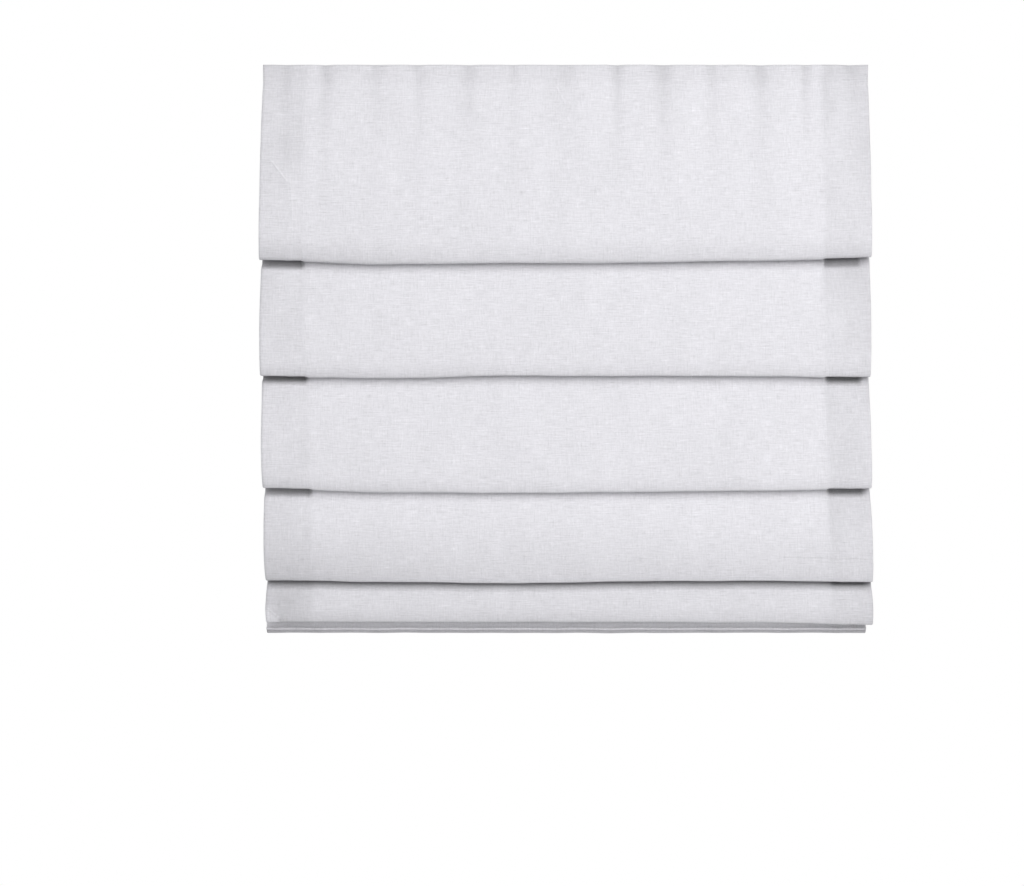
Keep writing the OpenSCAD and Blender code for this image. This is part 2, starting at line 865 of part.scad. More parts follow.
headrail();
end_cap_left();
end_cap_right();
bracket_left();
bracket_right();
hook_tape();
loop_tape();
shade_panel();
cassette_left();
cassette_centre();
cassette_right();
motor_case();
motor_cover();
power_spring();
lift_cord_left();
lift_cord_centre();
lift_cord_right();
lift_shaft();
spool_left();
spool_centre();
spool_right();
output_drum();
storage_drum();
rod_1();
rod_pocket_1();
rod_tips_1();
lift_rings_1();
rod_2();
rod_pocket_2();
rod_tips_2();
lift_rings_2();
rod_3();
rod_pocket_3();
rod_tips_3();
lift_rings_3();
rod_4();
rod_pocket_4();
rod_tips_4();
lift_rings_4();
bottom_bar();
bar_cap_left();
bar_cap_right();
cord_anchors();
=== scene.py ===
# %% [markdown]
# # A roman blind, dressed around its working frame
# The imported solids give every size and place: a headrail with its lift, four rods, a bottom bar
# and one folded cloth. This lesson hangs a soft linen sheet over that frame, gives the cords their
# braid and the hardware its finishes, and sets the studio. All lengths are metres.

# %% Load the frame
import json
import math

import bmesh
import bpy
import numpy as np
from mathutils import Matrix, Vector, noise


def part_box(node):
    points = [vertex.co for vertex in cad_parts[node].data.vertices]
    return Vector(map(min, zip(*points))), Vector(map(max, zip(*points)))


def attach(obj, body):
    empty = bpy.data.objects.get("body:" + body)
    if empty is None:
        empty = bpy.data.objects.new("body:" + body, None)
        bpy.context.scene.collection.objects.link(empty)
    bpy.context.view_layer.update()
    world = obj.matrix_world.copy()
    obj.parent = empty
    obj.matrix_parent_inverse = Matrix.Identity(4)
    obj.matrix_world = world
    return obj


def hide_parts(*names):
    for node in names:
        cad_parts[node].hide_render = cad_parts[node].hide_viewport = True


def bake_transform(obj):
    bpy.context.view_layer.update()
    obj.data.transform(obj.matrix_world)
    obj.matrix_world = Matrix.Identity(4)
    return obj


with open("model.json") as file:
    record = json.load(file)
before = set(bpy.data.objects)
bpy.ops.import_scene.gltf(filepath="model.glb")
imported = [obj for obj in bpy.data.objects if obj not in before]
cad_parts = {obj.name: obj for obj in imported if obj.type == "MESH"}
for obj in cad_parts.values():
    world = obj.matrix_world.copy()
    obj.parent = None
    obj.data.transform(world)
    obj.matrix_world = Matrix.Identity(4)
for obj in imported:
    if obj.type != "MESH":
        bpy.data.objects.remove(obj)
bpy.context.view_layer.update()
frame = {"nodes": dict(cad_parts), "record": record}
nodes = frame["nodes"]

# %% [markdown]
# ## Places read from the frame
# The cloth has to meet the rods and the bar exactly, so its folds are worked out from them. A rod's
# share of the lift says how much cloth it gathers: at the bottom of the travel every fold has only
# its least overlap left, so the overlap now is that plus half of what the fold still gives away.

# %% Rods, folds and shares of the lift
MM = 0.001
LEAST_OVERLAP = 10 * MM
POCKET_RISE = 2.692 * MM
BAR_BELOW_LINE = 23.8 * MM
CLOTH_THICK = 1.2 * MM
ROD_NUMBERS = (1, 2, 3, 4)

panel_low, panel_high = (Vector(c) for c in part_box("shade_panel"))
top_z = panel_high.z
half_width = panel_high.x
plane_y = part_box("loop_tape")[0][1] - CLOTH_THICK / 2

behaviour = frame["record"]["behaviour"]
share_of = {c["joint"]: c["ratio"] for c in behaviour["couplings"]}
lift_range = next(j["range_m"] for j in behaviour["joints"] if j["name"] == "lift")
lift_shares = [share_of["rod_%d_lift" % k] for k in ROD_NUMBERS] + [1.0]


def middle(node, axis):
    """Middle of a solid's box along one axis."""
    low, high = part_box(node)
    return (low[axis] + high[axis]) / 2


rod_drops = [top_z - middle("rod_%d" % k, 2) + POCKET_RISE for k in ROD_NUMBERS]
rod_drops.append(top_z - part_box("bottom_bar")[1][2] - BAR_BELOW_LINE)
gathers = [a - b for a, b in zip(lift_shares, [0.0] + lift_shares)]
fold_drops = [r + LEAST_OVERLAP - lift_range[0] * g / 2 for r, g in zip(rod_drops, gathers)]
foot_drop = top_z - panel_low.z
print("rod drops", [round(v, 4) for v in rod_drops])
print("fold drops", [round(v, 4) for v in fold_drops], "foot", round(foot_drop, 4))

# %% [markdown]
# ## Camera
# The picture looks almost straight at the blind from a little below its middle, tipped down by less
# than a degree, with the frame moved sideways. A lens shift moves the frame without turning the blind.

# %% Camera
PICTURE_W = 1024
BLIND_TOP_PX = 603
CAMERA_AWAY = 2.1
CAMERA_DROP = 0.7321
CAMERA_TIP = math.radians(0.85)
FRAME_SHIFT = -53.5 / PICTURE_W

top_depth = CAMERA_AWAY * math.cos(CAMERA_TIP) - CAMERA_DROP * math.sin(CAMERA_TIP)
focal_px = BLIND_TOP_PX / (2 * half_width) * top_depth
camera_data = bpy.data.cameras.new("camera")
camera_data.sensor_width = 36
camera_data.lens = focal_px / PICTURE_W * camera_data.sensor_width
camera_data.shift_x = FRAME_SHIFT
camera = bpy.data.objects.new("camera", camera_data)
camera.location = (0, plane_y - CAMERA_AWAY, top_z - CAMERA_DROP)
camera.rotation_euler = (math.pi / 2 - CAMERA_TIP, 0, 0)
bpy.context.collection.objects.link(camera)
bpy.context.scene.camera = camera
bpy.context.scene.view_settings.view_transform = "Standard"
print("lens", round(camera_data.lens, 2), "mm")

# %% [markdown]
# ## Lift cords
# Each cord leaves the front of its spool, drops through the rings on the rods and ends in a knot
# under the bar's clip. A ring of points swept straight down makes the run, and the same ring swept
# round the shaft makes the turns. The turns go round with the shaft.

# %% Sweep helper
CORD_R = 0.7 * MM
CORD_SIDES = 10
ACROSS = (1, 0, 0)


def link(name, shape):
    """An object at the origin made from a finished shape, with smooth faces."""
    for face in shape.faces:
        face.smooth = True
    mesh = bpy.data.meshes.new(name)
    shape.to_mesh(mesh)
    shape.free()
    made = bpy.data.objects.new(name, mesh)
    bpy.context.collection.objects.link(made)
    return made


def sweep_cord(shape, start, centre, step, angle, count):
    """Sweeps a ring from start, turning by angle in all about centre and moving by step each time."""
    ring = bmesh.ops.create_circle(
        shape, radius=CORD_R, segments=CORD_SIDES, matrix=Matrix.Translation(start))["verts"]
    edges = list({edge for vert in ring for edge in vert.link_edges})
    bmesh.ops.spin(
        shape, geom=ring + edges, cent=centre, axis=ACROSS, dvec=step, angle=angle, steps=count)


def close_ends(shape):
    """Caps every open ring and turns the faces outward."""
    bmesh.ops.holes_fill(shape, edges=shape.edges, sides=CORD_SIDES)
    bmesh.ops.recalc_face_normals(shape, faces=shape.faces)


# %% Runs, knots and turns
KNOT_R = 2.4 * CORD_R
KNOT_COIL_R = KNOT_R - CORD_R
KNOT_TURNS = 2
COIL_TURNS = 8
COIL_PITCH = 1.3 * MM
STEPS_PER_TURN = 24
RUN_STEPS = 40

shaft = Vector((0, middle("lift_shaft", 1), middle("lift_shaft", 2)))
cords = []
for side in ("left", "centre", "right"):
    node = "lift_cord_" + side
    low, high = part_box(node)
    x = low.x + KNOT_R
    coil_r = high.z - shaft.z - CORD_R
    top = Vector((x, shaft.y - coil_r, shaft.z))
    foot = Vector((x, top.y, low.z + KNOT_R))
    run_shape = bmesh.new()
    sweep_cord(run_shape, top, top, (foot - top) / RUN_STEPS, 0, RUN_STEPS)
    knot_step = Vector((2 * CORD_R / STEPS_PER_TURN, 0, 0))
    knot_start = foot - Vector((KNOT_TURNS * CORD_R, KNOT_COIL_R, 0))
    knot_angle = 2 * math.pi * KNOT_TURNS
    sweep_cord(run_shape, knot_start, foot, knot_step, knot_angle, STEPS_PER_TURN * KNOT_TURNS)
    close_ends(run_shape)
    run = link("cord_run_" + side, run_shape)
    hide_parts(node)
    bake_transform(run)

    coil_shape = bmesh.new()
    coil_step = Vector((COIL_PITCH / STEPS_PER_TURN, 0, 0))
    sweep_cord(coil_shape, top, shaft, coil_step, 2 * math.pi * COIL_TURNS, STEPS_PER_TURN * COIL_TURNS)
    close_ends(coil_shape)
    coil = link("cord_turns_" + side, coil_shape)
    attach(coil, "lift_shaft")
    cords += [run, coil]
print(len(cords), "cord pieces, run", round(top.z - foot.z, 4), "m long")

# %% [markdown]
# ## The side line of the cloth
# Seen from the side, the cloth drops from the tape, leans out to the foot of a fold, turns under,
# climbs back to the rod and starts again behind itself. Each stretch is one curve, so the line is a
# short list of curves and turns. Every point also carries its share of the lift: a rod's own share at
# the rod, and halfway between two rods at the foot of a fold, which keeps the cloth's length.

# %% Curves of one fold
FOLD_OUT = [38.5 * MM, 35 * MM, 34 * MM, 29.5 * MM, 29 * MM]
FOLD_TURN = 5 * MM
FOLD_CURL = 15
CURL_IN = 2 * MM
CREASE_GAP = [5 * MM, 5 * MM, 5 * MM, 6 * MM]
FIRST_BOW = 20 * MM
LONGEST_PULL = 35 * MM
ROD_TURN = 3 * MM
HEM_TURN = 4 * MM
HEM_END = 9 * MM
HEM_SLACK = 0.6 * MM
RAIL_DEPTH = 36 * MM
FIRST_POINTS = 36
FRONT_POINTS = 20
FRONT_CROWD = 1.5
HIDDEN_POINTS = 6
BACK_POINTS = 7
FOOT_POINTS = 7
ROD_POINTS = 6


def curve(p, q, r, s, count, crowd=1.0):
    """Points of a cubic from p to s; crowd above 1 sets them closer at the start."""
    points = []
    for i in range(count):
        t = (i / count) ** crowd
        points.append(p * (1 - t) ** 3 + q * (3 * t * (1 - t) ** 2) + r * (3 * t * t * (1 - t)) + s * t ** 3)
    return points


def turn(centre, radius, start, end, count):
    """Points of an arc between two angles in degrees, without its last point."""
    angles = [math.radians(start + (end - start) * i / count) for i in range(count)]
    return [centre + radius * Vector((math.cos(a), math.sin(a))) for a in angles]


def foot_centre(i):
    """Centre of the arc that turns fold i under at its foot."""
    return Vector((FOLD_OUT[i] - CURL_IN - FOLD_TURN, fold_drops[i] - FOLD_TURN))


def front_of(i):
    """Front of fold i as (kind, points): the part behind the fold above is hidden."""
    end = turn(foot_centre(i), FOLD_TURN, FOLD_CURL, 180, 1)[0]
    lean = math.radians(FOLD_CURL)
    start = Vector((0, RAIL_DEPTH))
    if i > 0:
        start = Vector((foot_centre(i - 1).x - FOLD_TURN - CREASE_GAP[i - 1], fold_drops[i - 1]))
    tall = fold_drops[i] - start.y
    pull = end + min(0.3 * tall, LONGEST_PULL) * Vector((math.sin(lean), -math.cos(lean)))
    if i == 0:
        bow = start + Vector((FIRST_BOW, 0.2 * tall))
        return [("front", curve(start, bow, pull, end, FIRST_POINTS))]
    slope = Vector((2 * (FOLD_OUT[i] - start.x) / tall, 1))
    rod = Vector((0, rod_drops[i - 1] + ROD_TURN))
    climb = start.y - rod.y
    hidden = curve(rod, rod + Vector((0, 0.25 * climb)), start - 0.45 * climb * slope, start, HIDDEN_POINTS)
    front = curve(start, start + 0.3 * tall * slope, pull, end, FRONT_POINTS, FRONT_CROWD)
    return [("hidden", hidden), ("front", front)]


def back_of(i):
    """Back of fold i, climbing from its foot to the rod."""
    start = foot_centre(i) - Vector((FOLD_TURN, 0))
    end = Vector((2 * ROD_TURN, rod_drops[i] + ROD_TURN))
    tall = start.y - end.y
    rise = start - Vector((0, 0.45 * tall))
    arrive = end + Vector((0.3 * (start.x - end.x), 0.1 * tall))
    return curve(start, rise, arrive, end, BACK_POINTS)


def fold_points(i):
    """Points of fold i as (place, kind, fold)."""
    parts = front_of(i)
    parts.append(("foot", turn(foot_centre(i), FOLD_TURN, FOLD_CURL, 180, FOOT_POINTS)))
    parts.append(("back", back_of(i)))
    rod_centre = Vector((ROD_TURN, rod_drops[i] + ROD_TURN))
    parts.append(("rod", turn(rod_centre, ROD_TURN, 0, -180, ROD_POINTS)))
    return [(point, kind, i) for kind, points in parts for point in points]


# %% Whole side line
TOP_POINTS = 6
HEM_POINTS = 18
HEM_CROWD = 1.8
HEM_TURN_POINTS = 7
HEM_BACK_POINTS = 4
LAST_FOLD = len(fold_drops) - 1

line = [(Vector((0, RAIL_DEPTH * i / TOP_POINTS)), "top", 0) for i in range(TOP_POINTS)]
for i in range(len(fold_drops)):
    line += fold_points(i)
hem_start = Vector((0, rod_drops[LAST_FOLD] + ROD_TURN))
hem_foot = Vector((0, foot_drop + HEM_SLACK - HEM_TURN))
hem_end = Vector((-2 * HEM_TURN, rod_drops[LAST_FOLD] + HEM_END))
hem_back = Vector((-2 * HEM_TURN, hem_foot.y))
hem_line = [hem_foot.lerp(hem_start, (1 - i / HEM_POINTS) ** HEM_CROWD) for i in range(HEM_POINTS)]
hem_line += turn(hem_foot - Vector((HEM_TURN, 0)), HEM_TURN, 0, 180, HEM_TURN_POINTS)
hem_line += [hem_back.lerp(hem_end, i / HEM_BACK_POINTS) for i in range(HEM_BACK_POINTS + 1)]
line += [(point, "hem", LAST_FOLD) for point in hem_line]

steps = [0.0]
for (a, _, _), (b, _, _) in zip(line, line[1:]):
    steps.append(steps[-1] + (b - a).length)


# %% Share of the lift along the line
def front_start(i):
    """Drop at which the front of fold i leaves the rail or the rod above it."""
    return RAIL_DEPTH if i == 0 else rod_drops[i - 1] + ROD_TURN


def lift_share(drop, kind, i):
    """How far a point of the side line moves for each metre of the bar's lift."""
    above = 0.0 if i == 0 else lift_shares[i - 1]
    here = lift_shares[i]
    low = fold_drops[i] - FOLD_TURN
    if kind == "top":
        return 0.0
    if kind == "hem":
        return 1.0
    if kind in ("hidden", "front"):
        return above + (here - above) / 2 * min(1.0, (drop - front_start(i)) / (low - front_start(i)))
    if kind == "foot":
        return (above + here) / 2
    if kind == "back":
        high = rod_drops[i] + ROD_TURN
        return here - (here - above) / 2 * (drop - high) / (low - high)
    return here


print("share at the first fold's foot", round(lift_share(fold_drops[0], "foot", 0), 4))

# %% [markdown]
# ## The linen sheet
# A hung cloth is never a flat plate: the tape puckers it, the side hems lie double and stand stiff,
# the folds sag a little between the cords. A simulation would have to settle five folds on four rods
# and would come out different at each size, so a flat grid is laid on the side line and eased by listed
# values and by smooth noise. Its columns run from the turned-in hem on the back, round one side edge,
# across the face and round the other edge, so the hems are real second layers.

# %% Columns across the sheet
SIDE_HEM = 86 * MM
LAYER = 0.9 * MM
HEM_BACK = 1.2 * MM
HEM_STEP = 1.5 * MM
HEM_COLUMNS = 17
FACE_COLUMNS = 114
TURNED_COLUMNS = 9

hem_edge = half_width - SIDE_HEM
right_hem = np.linspace(hem_edge + HEM_STEP, half_width, HEM_COLUMNS)
between = np.linspace(HEM_STEP - hem_edge, hem_edge - HEM_STEP, FACE_COLUMNS)
face_columns = np.concatenate([-right_hem[::-1], between, right_hem])
turned = np.linspace(half_width, hem_edge, TURNED_COLUMNS)
columns = [(-x, HEM_BACK) for x in turned[::-1]] + [(-half_width - HEM_BACK / 2, HEM_BACK / 2)]
columns += [(x, 0.0) for x in face_columns]
columns += [(half_width + HEM_BACK / 2, HEM_BACK / 2)] + [(x, HEM_BACK) for x in turned]
across = [0.0]
for (a, behind_a), (b, behind_b) in zip(columns, columns[1:]):
    across.append(across[-1] + math.hypot(b - a, behind_b - behind_a))

# %% Sag and sway, as the picture shows them
# One row for each fold, from left to right; these and the next three lists are in millimetres.
FOLD_SAG = [
    [-3.0, 4.0, 1.5, 0.5, -3.0, -8.0],
    [-1.0, 0.5, -3.0, -3.5, -3.0, 0.5],
    [-4.0, 3.0, 4.5, 2.5, 0.0, -3.0],
    [-2.5, 1.0, 3.5, -0.5, -1.0, 0.5],
    [0.0, 1.0, 0.0, 0.0, 2.0, 5.0],
]
SWAY = [0.0, -0.5, -0.5, 3.0, 7.5, 8.0, 1.5]
HEM_DRIFT_LEFT = [0.0, 0.5, 6.5, 11.0, 8.0, 6.0, 0.0]
HEM_DRIFT_RIGHT = [-4.0, -8.0, -3.0, -1.5, 3.5, 3.5, 0.0]
HEM_LIFT = 2 * MM
LIFTED_FOLDS = 3
BAR_REACH = 20 * MM
FOOT_UNEVEN = 0.9


def ease(t):
    """A smooth step from 0 to 1."""
    t = min(max(t, 0.0), 1.0)
    return t * t * (3 - 2 * t)


def drift(x, v, seed):
    """Smooth noise between about -1 and 1."""
    return noise.noise(Vector((x, v, seed)))


def fold_sag(i, x):
    """How much lower the foot of fold i hangs at x."""
    stations = FOLD_SAG[i]
    place = min(max((x / half_width + 1) / 2, 0.0), 0.9999) * (len(stations) - 1)
    at = int(place)
    low = stations[at] + (stations[at + 1] - stations[at]) * ease(place - at)
    lift = HEM_LIFT if abs(x) > hem_edge and i < LIFTED_FOLDS else 0.0
    return (low + FOOT_UNEVEN * drift(x * 14, 3.1 * i, 7.7)) * MM - lift


def foot_weight(drop, kind, i):
    """1 at the foot of a fold, falling to 0 at the rods."""
    if kind == "foot":
        return 1.0
    low = fold_drops[i] - FOLD_TURN
    if kind in ("hidden", "front"):
        return min(1.0, max(0.0, (drop - front_start(i)) / (low - front_start(i)))) ** 3
    if kind == "back":
        return max(0.0, (drop - rod_drops[i] - ROD_TURN) / (low - rod_drops[i] - ROD_TURN))
    return 0.0


def down_table(drop, values):
    """A value in metres from millimetres given at the top, at each fold's foot and at the bar."""
    return np.interp(drop, [0.0] + fold_drops + [foot_drop], values) * MM


def sway(drop, kind):
    """How far the whole cloth hangs to one side; the bar keeps its own hem straight."""
    if kind != "hem":
        return down_table(drop, SWAY)
    straight = ease((drop - hem_start.y) / BAR_REACH)
    return (1 - straight) * down_table(hem_start.y, SWAY) + straight * SWAY[-1] * MM


def hem_drift(x, drop):
    """How far the inner edge of a side hem wanders sideways on its way down."""
    near = 1 - ease(abs(abs(x) - hem_edge) / SIDE_HEM)
    return near * down_table(drop, HEM_DRIFT_LEFT if x < 0 else HEM_DRIFT_RIGHT)


print("sag of the first fold at mid width", round(fold_sag(0, 0.0) * 1000, 2), "mm")

# %% Puckers, ripples, creases and the set-back of the hems
PUCKER = 4.0
PUCKER_PITCH = 96 * MM
PUCKER_WIDE = 0.14
PUCKER_FADE = 0.1
BULGE = [0.0, 2.0, 2.0, 4.0, 2.0]
SET_BACK = 6 * MM
BACK_FADE_LEFT = [0.0, 14 * MM, 9 * MM, 17 * MM, 12 * MM]
BACK_FADE_RIGHT = [0.0, 14 * MM, 11 * MM, 10 * MM, 10 * MM]
GAP_LEFT = [0.0, 1.0, 1.0, 1.0, 0.0]
GAP_RIGHT = [0.0, 1.0, 1.0, 1.0, 1.3]
GAP_TAPER = 10 * MM
GAP_TAPER_LEFT = 7 * MM
LIT_EDGE = [0.0, 17 * MM, 14 * MM, 10 * MM, 11 * MM]
# A crease is its start (x, drop), its end (x, drop), its rise in millimetres and its fold.
EAR_CREASE = (-0.605, 1.095, -0.583, 1.115, 2.6, 4)
CREASES = [
    (-0.589, 0.198, -0.555, 0.242, 2.4, 0),
    (-0.018, 0.045, -0.001, 0.080, 1.8, 0),
    (-0.547, 0.246, -0.543, 0.320, 1.2, 0),
    (0.430, 0.993, 0.608, 0.996, -1.4, 3),
    EAR_CREASE,
    (0.540, 0.760, 0.585, 0.700, 1.2, 2),
]
CREASE_WIDE = 8 * MM
SLOW_WAVE = 1.5
QUICK_WAVE = 0.9
HEM_WAVE = 0.8
RIPPLE_SHARE = {"top": 0.5, "hidden": 0.3, "front": 1.0, "foot": 0.8, "back": 0.2, "rod": 0.0, "hem": 0.4}


def crease(x, drop):
    """Height of the pressed creases near a point of the face, in millimetres."""
    height = 0.0
    for x0, d0, x1, d1, rise, _ in CREASES:
        along = Vector((x1 - x0, d1 - d0))
        reach = Vector((x - x0, drop - d0))
        t = min(max(reach.dot(along) / along.length_squared, 0.0), 1.0)
        height += rise * math.exp(-((reach - t * along).length / CREASE_WIDE) ** 2)
    return height


def valley(x, drop):
    """1 in the narrow valleys between puckers along the top edge, fading downward."""
    place = x / PUCKER_PITCH + 0.6 * drift(x * 6, 0.0, 1.0)
    deep = min(1.0, 0.7 + 0.8 * drift(x * 9, 0.3, 2.0))
    return deep * math.exp(-((place - round(place)) / PUCKER_WIDE) ** 2) * math.exp(-drop / PUCKER_FADE)


def bulge(drop, kind, i):
    """How far the belly of a fold swells."""
    if kind != "front" or i == 0:
        return 0.0
    t = (drop - fold_drops[i - 1]) / (fold_drops[i] - FOLD_TURN - fold_drops[i - 1])
    return BULGE[i] * MM * math.sin(math.pi * min(1.0, t))


def ripple(x, drop, length, kind):
    """How far the face stands proud of the side line."""
    pucker = PUCKER * (math.exp(-drop / PUCKER_FADE) - valley(x, drop))
    waves = SLOW_WAVE * drift(x * 4.2, length * 1.3, 3.0) + QUICK_WAVE * drift(x * 9.0, length * 2.1, 4.0)
    waves += HEM_WAVE * drift(x * 46, length * 1.6, 5.0) * ease((abs(x) - hem_edge) / SIDE_HEM * 3)
    pressed = crease(x, drop) if kind == "front" else 0.0
    return (pucker + RIPPLE_SHARE[kind] * waves + pressed) * MM


def hem_zone(x, i):
    """1 where a side hem hangs back under the fold above; on the right it stops short of the edge."""
    if x < 0:
        return GAP_LEFT[i] * ease((-x - hem_edge + HEM_STEP) / GAP_TAPER_LEFT)
    inner = ease((x - hem_edge + HEM_STEP) / GAP_TAPER)
    return GAP_RIGHT[i] * inner * ease((half_width - LIT_EDGE[i] - x) / GAP_TAPER + 0.5)


def set_back(x, drop, kind, i):
    """How far a hem hangs behind the side line under the fold above it."""
    if i == 0 or kind not in ("hidden", "front"):
        return 0.0
    if kind == "hidden":
        near = ease((drop - front_start(i)) / (fold_drops[i - 1] - front_start(i)))
    else:
        fade = BACK_FADE_LEFT[i] if x < 0 else BACK_FADE_RIGHT[i]
        near = 1 - ease((drop - fold_drops[i - 1]) / fade)
    return SET_BACK * near * min(1.0, hem_zone(x, i))


print("pucker at mid top", round(ripple(0.0, 0.0, 0.0, "top") * 1000, 2), "mm")

# %% [markdown]
# ## Where shade is painted on the cloth
# Shade is painted into the cloth's colour where the foot of a fold turns away from the lamps, where a
# doubled hem would let less light through, along the top edge and in its pucker valleys, over the last fold
# and its lower left corner, and as a painted shadow line under the ridge of the bar hem; the turned ear gets
# a painted highlight. These stay with the cloth, so they are stored on its points. The dark gaps under the
# folds open and close with the lift, so only how strongly a point can take painted shade is stored, and the
# finish works out how shut in the point is.

# %% Painted shade on feet, doubled hems, top, corner and under the bar hem's ridge
# Painted shade toward each fold's foot: its strength and how far up it reaches.
FOOT_SHADE = [0.2, 0.14, 0.14, 0.2, 0.1]
FOOT_TALL = [50 * MM, 30 * MM, 30 * MM, 140 * MM, 30 * MM]
FAR_SIDE = 0.9
# Painted shade over a whole fold; only the last one is darker.
LOW_SHADE = [0.0, 0.0, 0.0, 0.0, 0.15]
# Shares of the painted gap shade: in the middle of each fold, at the hems and on the bar hem.
NOOK_MIDDLE = [0.2, 0.18, 0.2, 0.2, 0.78]
NOOK_HEM = 0.86
NOOK_BAR = 0.9
# Painted shade along the top edge and in the pucker valleys.
TOP_SHADE = 0.1
TOP_FADE = 36 * MM
VALLEY_SHADE = 0.27
RIDGE_UP = 9 * MM
RIDGE_WIDE = 2.2 * MM
RIDGE_OUT = 3.5 * MM
# Painted shadow line under the ridge of the bar hem.
RIDGE_SHADE = 0.62
LAMP_SIDE = 1.5
# Painted shade on the last fold's lower left corner, and a painted highlight on its turned ear.
CORNER = Vector((-0.575, 1.085))
CORNER_WIDE = 36 * MM
CORNER_SHADE = 0.27
EAR_START = Vector(EAR_CREASE[0:2])
EAR_END = Vector(EAR_CREASE[2:4])
EAR_LIGHT = 0.38
EAR_SOFT = 5 * MM
# Edge of the painted shade of the doubled hems.
DOUBLE_SOFT = 12 * MM
DOUBLE_WANDER = 3 * MM


def far_side(x):
    """Strength of painted shade across the cloth: 1 on the middle, rising toward the side away from the
    lamp.
    """
    return 1 + FAR_SIDE * ease(-x / half_width) ** 2


def foot_shade(x, drop, i):
    """Painted shade on a fold's face as it turns under toward its foot."""
    rise = (fold_drops[i] - drop) / FOOT_TALL[i]
    return FOOT_SHADE[i] * far_side(x) * max(0.0, 1 - rise) ** 1.3


def corner(x, drop):
    """Painted shade on the lower left corner of the last fold, less where a painted highlight lies on its
    turned ear.
    """
    dim = CORNER_SHADE * math.exp(-(Vector((x, drop)) - CORNER).length_squared / CORNER_WIDE ** 2)
    slope = (EAR_END.y - EAR_START.y) / (EAR_END.x - EAR_START.x)
    under_crease = ease((drop - EAR_START.y - slope * (x - EAR_START.x)) / EAR_SOFT)
    return dim - EAR_LIGHT * under_crease * ease((EAR_END.x - x) / EAR_SOFT)


def shade(x, behind, drop, kind, i):
    """Painted shade where the face turns under, puckers, lies low, at its lower left corner or under the bar
    hem's ridge, less on the ear's painted highlight; 0 in the open.
    """
    if behind > 0 or kind in ("hidden", "back", "rod"):
        return 0.0
    if kind == "hem":
        return RIDGE_SHADE * ease((drop - foot_drop + RIDGE_UP - 0.5 * RIDGE_WIDE) / RIDGE_WIDE)
    dim = LOW_SHADE[i] + foot_shade(x, drop, i)
    if i == 0:
        dim += TOP_SHADE * math.exp(-drop / TOP_FADE) + VALLEY_SHADE * valley(x, drop)
    return dim + corner(x, drop)


def nook_shade_share(x, kind, i):
    """How fully the painted shade of the gap under a fold darkens the cloth: most where a hem hangs back
    from it.
    """
    if kind == "hem":
        return NOOK_BAR
    return max(NOOK_MIDDLE[i], NOOK_HEM * min(1.0, hem_zone(x, i)))


def doubled(x, drop, i):
    """Painted shade where the hem lies double and would let less light through: about 1 in the hem, stronger
    on the lamp side and uneven, with an edge that wanders a little and fades toward the foot.
    """
    edge = hem_edge + DOUBLE_WANDER * drift(drop * 9, x, 8.0)
    band_top = 0.0 if i == 0 else fold_drops[i - 1]
    fading = 1 - 0.6 * ease((drop - band_top) / (fold_drops[i] - band_top))
    lamp_side = LAMP_SIDE if x > 0 else 1.0
    uneven = 0.8 + 0.7 * drift(drop * 11, x * 14, 8.5)
    return lamp_side * fading * ease((abs(x) - edge) / DOUBLE_SOFT + 0.5) * uneven


def ridge(drop, kind):
    """How far the folded edge inside the bar hem pushes the face out."""
    if kind != "hem":
        return 0.0
    return RIDGE_OUT * math.exp(-((foot_drop - RIDGE_UP - drop) / RIDGE_WIDE) ** 2)


print("shade at the first fold's foot", round(shade(0.0, 0.0, fold_drops[0], "foot", 0), 3))


# %% Lay the sheet
SIDE_UNEVEN = 0.8 * MM
FOOT_WAVE = 0.8 * MM
FOOT_WAVE_FADE = 30 * MM


def heading(index):
    """Direction of the side line at one row."""
    before, after = line[max(index - 1, 0)][0], line[min(index + 1, len(line) - 1)][0]
    return (after - before).normalized()


def settle(index, x, behind):
    """Where the point of one row and column lies, eased by everything above."""
    place, kind, i = line[index]
    ahead = heading(index)
    drop = place.y
    proud = ripple(x, drop, steps[index], kind) - behind
    if place.x >= 0:
        proud += ridge(drop, kind)
    out = place.x + proud * ahead.y + bulge(drop, kind, i) - set_back(x, drop, kind, i)
    low = drop - proud * ahead.x + foot_weight(drop, kind, i) * fold_sag(i, x)
    if kind == "hem":
        low += FOOT_WAVE * drift(x * 17, 0.0, 9.0) * ease((drop - hem_start.y) / FOOT_WAVE_FADE)
    side = sway(drop, kind) + hem_drift(x, drop) + SIDE_UNEVEN * drift(steps[index] * 12, x * 2, 6.0)
    return Vector((x + side, plane_y - out, top_z - low))


def lay_sheet():
    """The grid of the cloth, laid in place, with its map and the values its points carry."""
    sheet = bmesh.new()
    names = ("lift_share", "double", "shade", "nook_shade")
    values = {name: sheet.verts.layers.float.new(name) for name in names}
    uv = sheet.loops.layers.uv.new("weave")
    wide, tall = len(columns) - 1, len(line) - 1
    bmesh.ops.create_grid(sheet, x_segments=wide, y_segments=tall, size=1)
    spots = {}
    for vert in sheet.verts:
        spots[vert] = (round((vert.co.x + 1) / 2 * wide), round((1 - vert.co.y) / 2 * tall))
    for face in sheet.faces:
        for loop in face.loops:
            c, r = spots[loop.vert]
            loop[uv].uv = (across[c] / 2, 1 - steps[r] / 2)
    for vert, (c, r) in spots.items():
        x, behind = columns[c]
        place, kind, i = line[r]
        vert.co = settle(r, x, behind)
        vert[values["lift_share"]] = lift_share(place.y, kind, i)
        vert[values["double"]] = doubled(x, place.y, i)
        vert[values["shade"]] = shade(x, behind, place.y, kind, i)
        vert[values["nook_shade"]] = nook_shade_share(x, kind, i)
    return sheet


